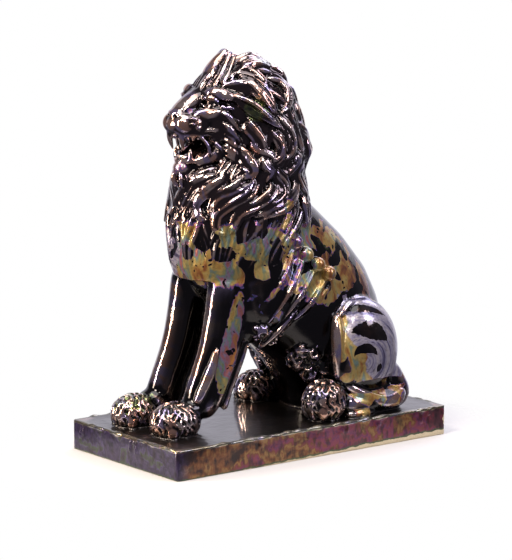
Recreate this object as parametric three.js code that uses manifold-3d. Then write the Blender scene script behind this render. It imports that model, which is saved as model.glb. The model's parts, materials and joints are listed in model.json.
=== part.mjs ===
// A glazed ceramic lion, seated upright on a rectangular plinth, moulded and fired as one piece.
// Millimetres. +Z is up, the lion faces -Y, and its left side is +X.
// The origin is the centre of the underside.
import * as THREE from "three";
import { mergeVertices } from "three/addons/utils/BufferGeometryUtils.js";
import Module from "manifold-3d";

const wasm = await Module();
wasm.setup();

// Driving sizes
const PLINTH = { length: 338, width: 178, height: 30, corner: 4, edge: 1.8 };
const GROUND = PLINTH.height; // the level that the paws stand on
const LEG = { apart: 30, thick: 18 }; // a foreleg's distance from the middle, and half its width
const LOCK = { wide: 11, deep: 8.5 }; // half the width and thickness of a lock of hair
const KNOB = 8; // radius of the round curls on the shoulder

// Level slices, from below: height, how far back the middle lies, half width, half depth
const TRUNK = [
  [24, 98, 60, 58],
  [50, 94, 61, 60],
  [80, 82, 61, 70],
  [110, 61, 60, 84],
  [140, 40, 59, 94],
  [170, 18, 58, 101],
  [205, 0, 55, 93],
  [235, -3, 46, 62],
  [262, -12, 34, 40],
];
const MANE = [
  [172, -35, 54, 60],
  [188, -35, 60, 64],
  [209, -33, 63, 66],
  [229, -31, 63, 67],
  [247, -28, 61, 64],
  [277, -31, 55, 60],
  [298, -15, 57, 53],
  [314, -15, 54, 48],
  [338, -17, 49, 41],
  [358, -19, 43, 35],
  [371, -23, 33, 25],
  [381, -28, 20, 16],
  [388, -32, 6, 5],
];

// Rows of locks, each after the row that it hangs over. The angles run round the mane from the
// front towards the lion's left. swing is how far a lock sways to each side, in degrees.
const ROWS = [
  { top: 300, count: 3, from: -36, to: 36, long: 46, swing: 7 },
  { top: 256, count: 7, from: -106, to: 106, long: 50, swing: 9 },
  { top: 286, count: 8, from: -120, to: 120, long: 60, swing: 9 },
  { top: 256, count: 4, from: 122, to: 238, long: 46, swing: 7 },
  { top: 316, count: 9, from: 48, to: 312, long: 60, swing: 9 },
  { top: 344, count: 7, from: 40, to: 320, long: 54, swing: 10 },
  { top: 369, count: 6, from: 34, to: 326, long: 44, swing: 11 },
  { top: 388, count: 4, from: 40, to: 320, long: 28, swing: 17 },
];

const { clamp, lerp, smoothstep, degToRad } = THREE.MathUtils;
const vector = (p) => new THREE.Vector3(...p);
const both = (make) => [make(1), make(-1)]; // the left one, then the right one

// A repeatable value from 0 to 1 that looks irregular, as hand work does
function uneven(seed) {
  const wave = Math.sin(seed * 12.9898 + 4.1414) * 43758.5453;
  return wave - Math.floor(wave);
}

// A value at t, from 0 to 1, on the smooth run through evenly spaced stops
function run(stops, t) {
  if (!Array.isArray(stops)) return stops;
  const last = stops.length - 1;
  const i = Math.min(Math.floor(clamp(t, 0, 1) * last), last - 1);
  const s = clamp(t, 0, 1) * last - i;
  const [a, b, c, d] = [-1, 0, 1, 2].map((k) => stops[clamp(i + k, 0, last)]);
  const [slope, bow, twist] = [c - a, 2 * a - 5 * b + 4 * c - d, 3 * b - a - 3 * c + d];
  return b + 0.5 * s * (slope + s * (bow + s * twist));
}

// The slice of a stack of levels at a height
function slice(levels, z) {
  const high = Math.max(1, levels.findIndex((level) => level[0] > z));
  const top = z >= levels[levels.length - 1][0] ? levels.length - 1 : high;
  const [under, over] = [levels[top - 1], levels[top]];
  const share = clamp((z - under[0]) / (over[0] - under[0]), 0, 1);
  const [centre, wide, deep] = [1, 2, 3].map((k) => lerp(under[k], over[k], share));
  return { centre, wide, deep };
}

// A closed three.js shape as a solid that can be joined and cut
function solid(geometry) {
  geometry.deleteAttribute("normal");
  geometry.deleteAttribute("uv");
  const merged = mergeVertices(geometry, 1e-3);
  const vertProperties = merged.attributes.position.array;
  const triVerts = new Uint32Array(merged.index.array);
  return new wasm.Manifold(new wasm.Mesh({ numProp: 3, vertProperties, triVerts }));
}

const join = (solids) => solids.reduce((all, next) => all.add(next));

// A closed shape with every vertex moved to its own place
function bend(geometry, place) {
  const position = geometry.attributes.position;
  for (let i = 0; i < position.count; i += 1) {
    const moved = place(position.getX(i), position.getY(i), position.getZ(i));
    position.setXYZ(i, moved.x, moved.y, moved.z);
  }
  return solid(geometry);
}

// A body of level slices
function stack(levels, sides, rows) {
  const [bottom, top] = [levels[0][0], levels[levels.length - 1][0]];
  return bend(new THREE.CylinderGeometry(1, 1, 1, sides, rows), (x, y, z) => {
    const height = lerp(bottom, top, y + 0.5);
    const { centre, wide, deep } = slice(levels, height);
    return new THREE.Vector3(x * wide, centre - z * deep, height);
  });
}

// An egg-shaped mass: its centre, half sizes, and tilt about X in degrees
function mass(centre, half, tilt = 0, sides = 6, rows = 4) {
  const turn = new THREE.Quaternion().setFromAxisAngle(vector([1, 0, 0]), degToRad(tilt));
  const place = new THREE.Matrix4().compose(vector(centre), turn, vector(half));
  const ball = new THREE.SphereGeometry(1, sides, rows).rotateX(Math.PI / 2);
  return solid(ball.applyMatrix4(place));
}

// A tapered body along a smooth line: wide across it, and thick in the direction that it faces
function limb(line, wide, thick, facing, sides, rows) {
  const curve = new THREE.CatmullRomCurve3(line.map(vector));
  const front = vector(facing);
  const capsule = new THREE.CapsuleGeometry(1, rows, 1, sides, rows).rotateY(Math.PI / 2);
  return bend(capsule, (x, y, z) => {
    const t = clamp(y / rows + 0.5, 0, 1);
    const beyond = y - clamp(y, -rows / 2, rows / 2);
    const [w, d] = [run(wide, t), run(thick, t)];
    const ahead = curve.getTangent(t);
    const out = front.clone().addScaledVector(ahead, -front.dot(ahead)).normalize();
    const side = ahead.clone().cross(out);
    const point = curve.getPoint(t).addScaledVector(side, x * w).addScaledVector(out, z * d);
    return point.addScaledVector(ahead, beyond * Math.min(w, d));
  });
}

// The slab that the lion sits on, with softened edges
function plinth() {
  const { width, length, height, corner, edge } = PLINTH;
  const [x, y] = [width / 2 - corner, length / 2 - corner];
  const outline = new THREE.Shape();
  [[x, y], [-x, y], [-x, -y], [x, -y]].forEach(([across, back], k) => {
    outline.absarc(across, back, corner, (k * Math.PI) / 2, ((k + 1) * Math.PI) / 2);
  });
  const block = new THREE.ExtrudeGeometry(outline, {
    depth: height - 2 * edge,
    bevelThickness: edge,
    bevelSize: edge,
    bevelOffset: -edge,
    bevelSegments: 2,
    curveSegments: 3,
  });
  return solid(block.translate(0, 0, edge));
}

// A foreleg from the shoulder to the wrist, with the elbow, the shoulder and the flank behind it
function foreleg(side) {
  const x = side * LEG.apart;
  const line = [
    [x, -52, 186],
    [x, -60, 160],
    [x, -66, 136],
    [x, -73, 110],
    [x, -83, 86],
    [x, -96, 62],
    [x, -108, 46],
  ];
  const leg = limb(line, [24, 20, 18, LEG.thick, 18], [30, 26, 24, 24, 18], [0, -1, 0], 9, 6);
  const elbow = mass([side * 38, -40, 126], [15, 16, 26]);
  const shoulder = mass([side * 40, -28, 168], [26, 40, 48], 12, 8, 5);
  const flank = mass([side * 36, 0, 146], [20, 24, 26], 0, 7, 4);
  return join([leg, elbow, shoulder, flank]);
}

// The web of clay between the forelegs, set back from their fronts
function web() {
  const line = [[0, -38, 180], [0, -54, 110], [0, -78, 62], [0, -92, 36]];
  return limb(line, [26, 20, 18, 18], [22, 14, 11, 9], [0, -1, 0], 6, 3);
}

// Tresses that fall from round knobs behind the shoulder down to the elbow, fewer on the right
function tresses(side) {
  const lines = [
    [[50, 1, 210], [57, -14, 190], [60, -32, 166], [50, -50, 140]],
    [[53, 12, 197], [58, -4, 180], [61, -20, 158], [53, -38, 130]],
    [[55, 25, 186], [57, 8, 167], [57, -8, 149], [49, -26, 122]],
    [[56, 38, 176], [57, 22, 156], [53, 6, 140], [41, -14, 122]],
  ];
  const shown = lines.slice(side > 0 ? 0 : 1).map((line) => line.map(([x, y, z]) => [side * x, y, z]));
  const knobs = shown.map((line) => mass(line[0], [KNOB, KNOB, KNOB], 0, 6, 3));
  const hair = shown.map((line) => limb(line, [7, 11, 11, 7], [7, 9, 9, 7], [side, 0, 0.2], 3, 3));
  return join([...knobs, ...hair]);
}

// Tufts of hair along the belly, from the elbow to the knee
function bellyTufts(side) {
  const [first, last, count] = [[24, -14, 114], [44, 42, 78], 5];
  const tufts = Array.from({ length: count }, (_, k) => {
    const [x, y, z] = first.map((start, axis) => lerp(start, last[axis], k / (count - 1)));
    const swell = lerp(0.85, 1.15, uneven(k + side));
    return mass([side * x, y, z + (k % 2) * 6], [15 * swell, 10 * swell, 13], 20);
  });
  return join(tufts);
}

// A paw: a flattened ball whose blunt front is parted into four toes
function paw([x, y, z], [wide, long, high]) {
  const ball = new THREE.SphereGeometry(1, 16, 6).rotateX(Math.PI / 2);
  return bend(ball, (across, back, up) => {
    const ahead = Math.max(-back, 0);
    const parting = 0.5 + 0.5 * Math.cos(8 * Math.atan2(ahead, across));
    const level = (1 - smoothstep(up, 0.3, 0.8)) * smoothstep(up, -0.95, -0.4);
    const share = 1 + smoothstep(ahead, 0.1, 0.5) * level * (0.08 - 0.36 * parting);
    const height = z + up * high - 0.22 * high * ahead * ahead * Math.max(up, 0);
    const place = [x + across * wide * share, y + back * long * share, Math.max(height, GROUND - 2)];
    return vector(place);
  });
}

// The hind leg: thigh, knee, and the long foot that lies on the plinth with its heel behind
function hindleg(side) {
  const line = [
    [side * 58, 110, 78],
    [side * 61, 125, 60],
    [side * 64, 127, 45],
    [side * 68, 100, 42],
    [side * 70, 74, 42],
    [side * 66, 46, 44],
  ];
  const foot = limb(line, [11, 12, 14, 14, 14, 17], [11, 13, 14, 12, 12, 14], [0, -0.5, 1], 6, 5);
  const thigh = mass([side * 55, 84, 98], [30, 43, 55], 8, 11, 6);
  const knee = mass([side * 61, 58, 86], [20, 22, 38], 6);
  return join([thigh, knee, foot]);
}

// The tail comes round the right haunch and lies on the plinth, with a tuft at its end
function tail() {
  const ropeLine = [[-18, 146, 50], [-50, 148, 42], [-76, 126, 39], [-80, 84, 38], [-78, 58, 38]];
  const tuftLine = [[-78, 62, 38], [-78, 44, 38], [-79, 26, 35]];
  const rope = limb(ropeLine, [9, 8, 7, 6.5, 6], [9, 8, 7, 6.5, 6], [0, 0, 1], 5, 5);
  return rope.add(limb(tuftLine, [7, 10, 3], [7, 8, 3], [0, 0, 1], 5, 2));
}

// One side of the face: the cheek, the brow and the upper lip
function cheek(side) {
  const browLine = [[side * 31, -62, 350], [side * 21, -76, 355], [side * 9, -75, 352]];
  return join([
    mass([side * 22, -52, 324], [16, 24, 28], 0, 7, 5),
    limb(browLine, [6, 8, 6], [6, 6, 5], [0, -1, 0.4], 5, 3),
    mass([side * 11, -98, 321], [11, 13, 12]),
  ]);
}

function fang(side) {
  const line = [[side * 10, -104, 320], [side * 10, -102, 312], [side * 9, -98, 303]];
  return limb(line, [4, 3.2, 1], [4, 3.2, 1], [0, -1, 0], 4, 2);
}

// The head: skull, muzzle and jaw, with the open mouth and the eye sockets cut in
function head() {
  const bridgeLine = [[0, -64, 355], [0, -84, 350], [0, -103, 341]];
  const jawLine = [[0, -58, 300], [0, -78, 297], [0, -94, 295]];
  const face = join([
    mass([0, -42, 340], [40, 36, 40], 0, 8, 5),
    mass([0, -56, 362], [25, 19, 18], -15, 8, 5),
    limb(bridgeLine, [12, 11, 10], [9, 8, 7], [0, 0, 1], 6, 3),
    mass([0, -110, 338], [9.5, 6, 7], 20),
    mass([0, -88, 328], [21, 25, 15], 12, 8, 5),
    limb(jawLine, [24, 18, 13], [10, 8, 8], [0, 0, 1], 7, 3),
    mass([0, -96, 291], [11, 9, 9]),
    ...both(cheek),
  ]);
  const mouth = mass([0, -94, 308], [16, 28, 7], 8, 8, 4);
  const sockets = both((side) => mass([side * 20, -84, 347], [8, 8, 5]));
  const eyes = both((side) => mass([side * 19, -76, 347], [7, 6, 6]));
  const tongue = mass([0, -80, 302], [11, 18, 4], 8);
  return join([face.subtract(join([mouth, ...sockets])), ...eyes, ...both(fang), tongue]);
}

// A point on the mane, and the direction straight out of it
function onMane(turn, height) {
  const { centre, wide, deep } = slice(MANE, height);
  const [across, back] = [Math.sin(turn), -Math.cos(turn)];
  const lean = clamp((height - 340) / 60, 0, 1); // over the crown the hair lies on top
  const out = vector([across / wide, back / deep, 0]).normalize().multiplyScalar(1 - 0.7 * lean);
  return {
    point: vector([across * wide, centre + back * deep, height]),
    out: out.setZ(lean).normalize(),
  };
}

// One ridged lock: it starts under the row above, sways to and fro, and rises a little to its tip
function lock(degrees, top, long, swing, wide, lift) {
  const steps = 6;
  const places = Array.from({ length: steps + 1 }, (_, k) => {
    const t = k / steps;
    const sway = swing * Math.sin(1.8 * Math.PI * t) * (0.6 + 0.4 * t);
    const { point, out } = onMane(degToRad(degrees + sway), top - long * t);
    return { point: point.addScaledVector(out, lerp(-1.5, lift, smoothstep(t, 0, 1))), out };
  });
  const line = places.map((place) => place.point.toArray());
  const widths = [0.6, 1, 1.05, 0.85, 0.3].map((share) => share * wide);
  const depths = [0.6, 1, 1, 0.9, 0.4].map((share) => share * LOCK.deep);
  const facing = places[steps / 2].out.toArray();
  return limb(line, widths, depths, facing, 3, long > 56 ? 4 : 3);
}

function mane() {
  const locks = ROWS.flatMap((row, r) =>
    Array.from({ length: row.count }, (_, k) => {
      const seed = r * 31 + k;
      const degrees = lerp(row.from, row.to, (k + 0.5) / row.count) + 5 * (uneven(seed) - 0.5);
      const top = row.top + 8 * (uneven(seed + 0.3) - 0.5);
      const long = row.long * lerp(0.9, 1.1, uneven(seed + 0.6));
      const away = degrees > 180 || degrees < 0 ? 1 : -1; // both sides sway alike
      const swing = row.swing * away * (k % 2 ? 1 : 0.7);
      const wide = LOCK.wide * lerp(0.95, 1.15, uneven(seed + 0.8));
      return lock(degrees, top, long, swing, wide, lerp(0, 2, uneven(seed + 0.9)));
    }),
  );
  return join([stack(MANE, 13, 8), ...locks]);
}

// The quiff that stands up over the forehead, and the hump of hair behind it
function forelock() {
  const line = [[0, -62, 356], [0, -60, 374], [0, -55, 388], [0, -48, 396], [0, -36, 388]];
  const quiff = limb(line, [17, 17, 12, 7, 9], [6, 8, 8, 6.5, 8], [0, -1, 0.3], 6, 5);
  const crown = mass([0, -36, 371], [20, 24, 21]);
  const hump = mass([0, -15, 375], [27, 21, 18], -10, 8, 4);
  return join([quiff, crown, hump]);
}

// A joined solid as a three.js shape
function shapeOf(made) {
  const { vertProperties, triVerts } = made.getMesh();
  const shape = new THREE.BufferGeometry();
  shape.setAttribute("position", new THREE.Float32BufferAttribute(Array.from(vertProperties), 3));
  shape.setIndex(Array.from(triVerts));
  shape.computeVertexNormals();
  return shape;
}

const lion = join([
  plinth(),
  stack(TRUNK, 14, 8),
  web(),
  ...both(foreleg),
  ...both(hindleg),
  ...both((side) => paw([side * 32, -134, 44], [22, 27, 20])),
  paw([65, 26, 47], [24, 28, 27]),
  paw([-54, 34, 41], [23, 26, 18]),
  ...both(tresses),
  ...both(bellyTufts),
  tail(),
  head(),
  mane(),
  forelock(),
]);

const glaze = new THREE.MeshStandardMaterial({ color: 0x2a1d18, roughness: 0.12, metalness: 0.6 });
const sculpture = new THREE.Mesh(shapeOf(lion), glaze);
sculpture.name = "lion_on_plinth";

const part = new THREE.Group();
part.add(sculpture);

export default part;
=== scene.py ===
# %% [markdown]
# A glazed ceramic lion
#
# The real object is a seated lion on a slab, moulded in clay and fired as one piece under a thick,
# dark lustre glaze. This lesson builds its fine surface over the plain solid that carries it.
# Everything is modelled in millimetres and becomes metres at the end.

# %% Load the frame
import json
import math
import bmesh
import bpy
import numpy as np
from mathutils import Matrix, Vector

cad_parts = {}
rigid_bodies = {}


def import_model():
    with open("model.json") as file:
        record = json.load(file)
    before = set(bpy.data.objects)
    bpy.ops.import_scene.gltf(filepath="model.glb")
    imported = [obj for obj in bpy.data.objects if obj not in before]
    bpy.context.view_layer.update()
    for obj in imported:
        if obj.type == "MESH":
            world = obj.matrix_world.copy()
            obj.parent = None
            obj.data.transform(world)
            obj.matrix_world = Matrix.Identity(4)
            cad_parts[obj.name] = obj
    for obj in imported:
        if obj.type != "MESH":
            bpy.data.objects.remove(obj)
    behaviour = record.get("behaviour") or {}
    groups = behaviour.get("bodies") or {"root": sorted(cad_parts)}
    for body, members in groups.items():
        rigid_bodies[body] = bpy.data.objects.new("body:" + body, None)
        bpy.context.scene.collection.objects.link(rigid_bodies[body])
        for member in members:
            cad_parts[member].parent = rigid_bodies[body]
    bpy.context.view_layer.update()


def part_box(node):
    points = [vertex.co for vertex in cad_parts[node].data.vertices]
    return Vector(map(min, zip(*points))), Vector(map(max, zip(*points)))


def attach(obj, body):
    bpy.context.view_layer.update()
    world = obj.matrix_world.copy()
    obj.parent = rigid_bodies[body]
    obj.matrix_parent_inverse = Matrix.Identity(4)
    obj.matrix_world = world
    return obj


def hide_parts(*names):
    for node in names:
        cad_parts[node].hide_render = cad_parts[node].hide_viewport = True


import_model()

low, high = [np.array(corner) * 1000 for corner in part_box("lion_on_plinth")]
print("the solid is", np.round(high - low), "mm")

# %% [markdown]
# The camera
#
# The photograph was taken from the lion's left front, a little above it, with a long lens: upright
# edges stay upright, and the slab's far edges hardly shrink. The camera stands three metres away.

# %% Set up the camera
CAMERA = {"azimuth": 52.43, "elevation": 10.05, "distance": 3.0, "lens": 193.2}
AIM = Vector((0, -0.0064, 0.1657))


def toward(azimuth, elevation):
    """The direction from the object to something at an azimuth and elevation in degrees."""
    a, e = math.radians(azimuth), math.radians(elevation)
    return Vector((math.sin(a) * math.cos(e), -math.cos(a) * math.cos(e), math.sin(e)))


def look_at(item, place, target):
    item.location = place
    item.rotation_euler = (Vector(target) - Vector(place)).to_track_quat("-Z", "Y").to_euler()


camera_data = bpy.data.cameras.new("camera")
camera_data.lens = CAMERA["lens"]
camera_data.clip_end = 20
camera = bpy.data.objects.new("camera", camera_data)
bpy.context.scene.collection.objects.link(camera)
bpy.context.scene.camera = camera
away = toward(CAMERA["azimuth"], CAMERA["elevation"])
look_at(camera, AIM + away * CAMERA["distance"], AIM)
print("camera at", [round(v, 3) for v in camera.location])

# %% [markdown]
# Sizes
#
# These are the driving sizes of the solid, repeated here so that the fine surface lies on it. A
# level slice gives a height, how far back the middle lies, and half the width and depth there.

# %% Name the sizes
PLINTH = {"length": 338, "width": 178, "height": 30, "corner": 4}
GROUND = PLINTH["height"]
LEG_APART = 30
TRUNK = np.array([
    [24, 98, 60, 58],
    [50, 94, 61, 60],
    [80, 82, 61, 70],
    [110, 61, 60, 84],
    [140, 42, 59, 96],
    [170, 20, 58, 103],
    [205, 0, 55, 93],
    [235, -3, 46, 62],
    [262, -12, 34, 40],
])
MANE = np.array([
    [172, -35, 54, 60],
    [188, -35, 60, 64],
    [209, -33, 63, 66],
    [229, -31, 63, 67],
    [247, -28, 61, 64],
    [277, -31, 55, 60],
    [298, -15, 57, 53],
    [314, -15, 54, 48],
    [338, -17, 49, 41],
    [358, -19, 43, 35],
    [371, -23, 33, 25],
    [381, -28, 20, 16],
    [388, -32, 6, 5],
])
print("trunk", TRUNK[0, 0], "to", TRUNK[-1, 0], "mm, mane", MANE[0, 0], "to", MANE[-1, 0], "mm")

# %% [markdown]
# Three ways to place clay
#
# A sculptor builds such a lion from eggs and rolls of clay. A mass is a stretched ball, a stack is
# a body of level slices, and a roll is a tapered body along a smooth line. All three start from
# the same ball of bmesh, whose vertices are then moved to their places.

# %% Make masses, stacks and rolls
CAP = 0.14  # the share of a roll's length over which its ends round off
BALLS = {}  # each ball is made once, and its copies are pressed into shape


def uneven(seed):
    """A repeatable value from 0 to 1 that looks irregular, as hand work does."""
    wave = math.sin(seed * 12.9898 + 4.1414) * 43758.5453
    return wave - math.floor(wave)


def lerp(a, b, t):
    return a + (b - a) * t


def run(stops, t):
    """Values on the smooth run through evenly spaced stops, for t from 0 to 1."""
    stops = np.atleast_1d(np.asarray(stops, float))
    t = np.clip(np.asarray(t, float), 0, 1)
    last = max(len(stops) - 1, 1)
    i = np.minimum((t * last).astype(int), last - 1)
    s = t * last - i
    a, b, c, d = [stops[np.clip(i + k, 0, len(stops) - 1)] for k in (-1, 0, 1, 2)]
    s = s[..., None] if stops.ndim > 1 else s
    return b + 0.5 * s * (c - a + s * (2 * a - 5 * b + 4 * c - d + s * (3 * b - a - 3 * c + d)))


def ball(sides, rings):
    """A ball of clay, with its vertices' share of the way up and their place round it."""
    if (sides, rings) not in BALLS:
        made = bmesh.new()
        bmesh.ops.create_uvsphere(made, u_segments=sides, v_segments=rings, radius=1)
        unit = np.array([v.co for v in made.verts])
        rise = np.arccos(np.clip(-unit[:, 2], -1, 1)) / math.pi
        rim = np.hypot(unit[:, 0], unit[:, 1])
        BALLS[sides, rings] = made, rise, unit[:, :2] / np.maximum(rim, 1e-3)[:, None]
    return BALLS[sides, rings]


def press(heap, lump, places=None):
    """Adds a copy of a lump to a heap, with its vertices moved to their places."""
    lump = lump.copy()
    if places is not None:
        for vert, place in zip(lump.verts, places):
            vert.co = place
    mesh = bpy.data.meshes.new("lump")
    lump.to_mesh(mesh)
    lump.free()
    heap.append(mesh)


def mass(heap, centre, half, tilt=0, turn=0, sides=24):
    """An egg-shaped mass: half sizes, tilt about X and turn about Z in degrees."""
    lean = Matrix.Rotation(math.radians(turn), 3, "Z") @ Matrix.Rotation(math.radians(tilt), 3, "X")
    lump = ball(sides, sides // 2)[0]
    unit = np.array([v.co for v in lump.verts])
    press(heap, lump, (unit * half) @ np.array(lean).T + centre)


def slice_at(levels, height):
    return [np.interp(height, levels[:, 0], levels[:, k]) for k in (1, 2, 3)]


def stack(heap, levels, sides=56, rings=48):
    lump, rise, around = ball(sides, rings)
    height = lerp(levels[0, 0], levels[-1, 0], rise)
    centre, wide, deep = slice_at(levels, height)
    places = [around[:, 0] * wide, centre + around[:, 1] * deep, height]
    press(heap, lump, np.stack(places, 1))


def unit_rows(rows):
    return rows / np.maximum(np.linalg.norm(rows, axis=1), 1e-9)[:, None]


def roll(heap, line, wide, thick, out=(0, -1, 0), rings=14, sides=8):
    """A tapered roll along a line: half its width, half its thickness, and where it faces."""
    line = np.asarray(line, float)
    lump, rise, around = ball(sides, rings)
    cap = np.sqrt(1 - (1 - np.clip(np.minimum(rise, 1 - rise) / CAP, 0, 1)) ** 2)
    ahead = unit_rows(run(line, rise + 0.03) - run(line, rise - 0.03))
    front = run(out, rise) if np.ndim(out) > 1 else np.tile(np.asarray(out, float), (len(rise), 1))
    front = unit_rows(front - ahead * np.sum(front * ahead, 1)[:, None])
    side = np.cross(front, ahead)
    across = (around[:, 0] * cap * run(wide, rise))[:, None]
    deep = (around[:, 1] * cap * run(thick, rise))[:, None]
    press(heap, lump, run(line, rise) + side * across + front * deep)


def both(make, *args):
    """Makes a thing on the lion's left, then on its right."""
    for side in (1, -1):
        make(side, *args)


print("a roll of clay has", 8 * 13 + 2, "vertices")

# %% [markdown]
# Fusing the clay
#
# Separate lumps become one skin with a voxel remesh, which keeps only what can be reached from
# outside. A few rounds of smoothing then press the joints together, as a wet thumb would. It is
# the modifier that suits a union of hundreds of lumps, where an exact boolean would take minutes.

# %% Fuse and carve
def gather(heap):
    """All the lumps of a heap in one bmesh. The heap is used up."""
    form = bmesh.new()
    for mesh in heap:
        form.from_mesh(mesh)
    bpy.data.batch_remove(heap)
    heap.clear()
    return form


def as_object(form, name):
    mesh = bpy.data.meshes.new(name)
    form.to_mesh(mesh)
    form.free()
    item = bpy.data.objects.new(name, mesh)
    bpy.context.scene.collection.objects.link(item)
    return item


def applied(item):
    """The mesh of an object with its modifiers applied. The object itself is removed."""
    ready = item.evaluated_get(bpy.context.evaluated_depsgraph_get())
    mesh = bpy.data.meshes.new_from_object(ready)
    bpy.data.objects.remove(item)
    return mesh


def fuse(heap, voxel, relax):
    """One skin round everything in the heap, as a mesh."""
    item = as_object(gather(heap), "clay")
    skin = item.modifiers.new("skin", "REMESH")
    skin.mode = "VOXEL"
    skin.voxel_size = voxel
    soft = item.modifiers.new("soft", "SMOOTH")
    soft.factor = 0.5
    soft.iterations = relax
    return applied(item)


def carve(mesh, cutter):
    """The mesh without what the cutter fills."""
    item, tool = as_object(gather([mesh]), "clay"), as_object(gather([cutter]), "tool")
    cut = item.modifiers.new("cut", "BOOLEAN")
    cut.operation = "DIFFERENCE"
    cut.object = tool
    mesh = applied(item)
    bpy.data.objects.remove(tool)
    return mesh


# %% [markdown]
# The body
#
# The trunk leans back from the chest to the rump. Elbows, shoulders, flanks, thighs and knees are
# masses laid on it, and the forelegs are long rolls that swell a little at the wrist. It is fused
# at a coarse grain and smoothed well, because the real body is soft and full under its glaze.

# %% Build the body
BODY_VOXEL = 2.4


def foreleg(side, heap):
    x = side * LEG_APART
    line = [
        [x, -52, 186],
        [x, -60, 160],
        [x, -66, 136],
        [x, -73, 110],
        [x, -83, 86],
        [x, -96, 62],
        [x, -108, 46],
    ]
    roll(heap, line, [24, 20, 18, 17, 17], [30, 26, 24, 22, 17], rings=24, sides=24)
    mass(heap, (side * 38, -43, 133), (14, 15, 22))
    mass(heap, (side * 40, -28, 168), (26, 40, 48), tilt=12)
    mass(heap, (side * 36, 0, 146), (20, 24, 26))
    # the instep, where the leg spreads into the paw
    mass(heap, (x, -114, 50), (17, 17, 14), tilt=20)


def hind_leg(side, heap):
    line = [
        [side * 58, 108, 78],
        [side * 61, 121, 60],
        [side * 64, 123, 45],
        [side * 68, 100, 42],
        [side * 70, 74, 42],
        [side * 66, 46, 44],
    ]
    roll(heap, line, [11, 12, 14, 14, 14, 17], [11, 13, 14, 12, 12, 14], (0, -0.5, 1), 24, 16)
    mass(heap, (side * 55, 84, 95), (30, 42, 52), tilt=8, sides=32)
    mass(heap, (side * 61, 58, 86), (20, 22, 38), tilt=6)


def web(heap):
    line = [[0, -38, 180], [0, -54, 110], [0, -78, 62], [0, -92, 36]]
    roll(heap, line, [26, 20, 18, 18], [22, 14, 11, 9], rings=20, sides=16)


def tail(heap):
    rope = [[-18, 146, 50], [-50, 148, 42], [-76, 126, 39], [-80, 84, 38], [-78, 58, 38]]
    roll(heap, rope, [9, 8, 7, 6.5, 6], [9, 8, 7, 6.5, 6], (0, 0, 1), rings=30, sides=12)


body = []
stack(body, TRUNK)
web(body)
both(foreleg, body)
both(hind_leg, body)
tail(body)
body_mesh = fuse(body, BODY_VOXEL, 6)
print("the body has", len(body_mesh.vertices), "vertices")


def leg_ridges(side, heap):
    """Ridges of hair down the back of a foreleg, which end in the dewclaws above the heel."""
    x = side * LEG_APART
    ridges = [
        ([[13, -87, 114], [14, -93, 98], [14, -100, 84], [13, -107, 70], [11, -111, 60]], 4.6),
        ([[15, -61, 120], [16, -71, 98], [15, -81, 78], [13, -88, 60], [11, -91, 50]], 3.8),
        ([[9, -44, 128], [11, -55, 106], [11, -65, 86], [10, -73, 66], [9, -77, 49]], 4.6),
        ([[-4, -42, 112], [-3, -53, 92], [-3, -64, 72], [-2, -72, 52]], 4.0),
    ]
    for path, wide in ridges[0 if side > 0 else 1:]:
        line = np.array(path, float) * [side, 1, 1] + [x, 0, 0]
        girth = [0.5 * wide, wide, wide, 0.8 * wide]
        roll(heap, line, girth, [1.1 * g for g in girth], (side, 1, 0), 24, 10)


def haunch_details(side, heap):
    """The roll down the front of the thigh, and the tendon along the long hind foot."""
    front = np.array([[60, 48, 134], [66, 45, 118], [69, 43, 100], [68, 44, 82], [66, 46, 66]], float)
    roll(heap, front * [side, 1, 1], [5, 7, 7, 6, 4], [6, 8, 8, 7, 5], (side, -1, 0), 24, 12)
    crest = np.array([[64, 50, 132], [60, 66, 143], [58, 88, 143], [61, 108, 130]], float)
    roll(heap, crest * [side, 1, 1], [3, 4, 4, 2], [3, 4, 4, 2], (side, 0, 1), 24, 10)
    tendon = np.array([[70, 48, 66], [76, 68, 53], [79, 92, 43], [78, 111, 43], [70, 124, 50]], float)
    roll(heap, tendon * [side, 1, 1], [5, 6, 7, 8, 7], [5, 6, 6, 7, 7], (side, 0, 0.5), 28, 12)
    mass(heap, (side * 78, 66, 34), (7, 19, 5), sides=16)


extras = []
both(leg_ridges, extras)
both(haunch_details, extras)

# %% [markdown]
# The head
#
# Skull, forehead, cheeks, muzzle and jaw are fused first. Then the open mouth, the eye sockets and
# the nostrils are carved out of them, and eyes, lids, teeth, tongue and folds are laid in place.

# %% Build the head
HEAD_VOXEL = 1.2


def half_face(side, heap):
    mass(heap, (side * 21, -60, 328), (14, 23, 26))
    cheekbone = [[side * 15, -96, 337], [side * 23, -82, 340], [side * 33, -62, 343]]
    roll(heap, cheekbone, [5, 7, 6], [4, 5, 4.5], (side, -0.4, 0.4), sides=12)
    brow = [[side * 34, -58, 354], [side * 28, -67, 358], [side * 19, -74, 359], [side * 9, -77, 355]]
    roll(heap, brow, [4, 6, 6.5, 5.5], [4, 5.5, 6, 5.5], (0, -1, 0.6), sides=12)
    mass(heap, (side * 10, -99, 330), (10, 12.5, 11), tilt=-8)
    mass(heap, (side * 15.5, -87, 330), (9.5, 14, 12))
    wing = [[side * 2, -107, 341], [side * 7, -105, 340], [side * 7.5, -102, 335]]
    roll(heap, wing, [3, 3.6, 2.6], [3, 3.6, 2.6], (0, -1, 0))
    jaw = [[side * 22, -62, 303], [side * 20, -78, 297], [side * 12, -91, 292]]
    roll(heap, jaw, [8, 7, 6], [9, 7, 6], (0, 0, 1), sides=12)


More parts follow.
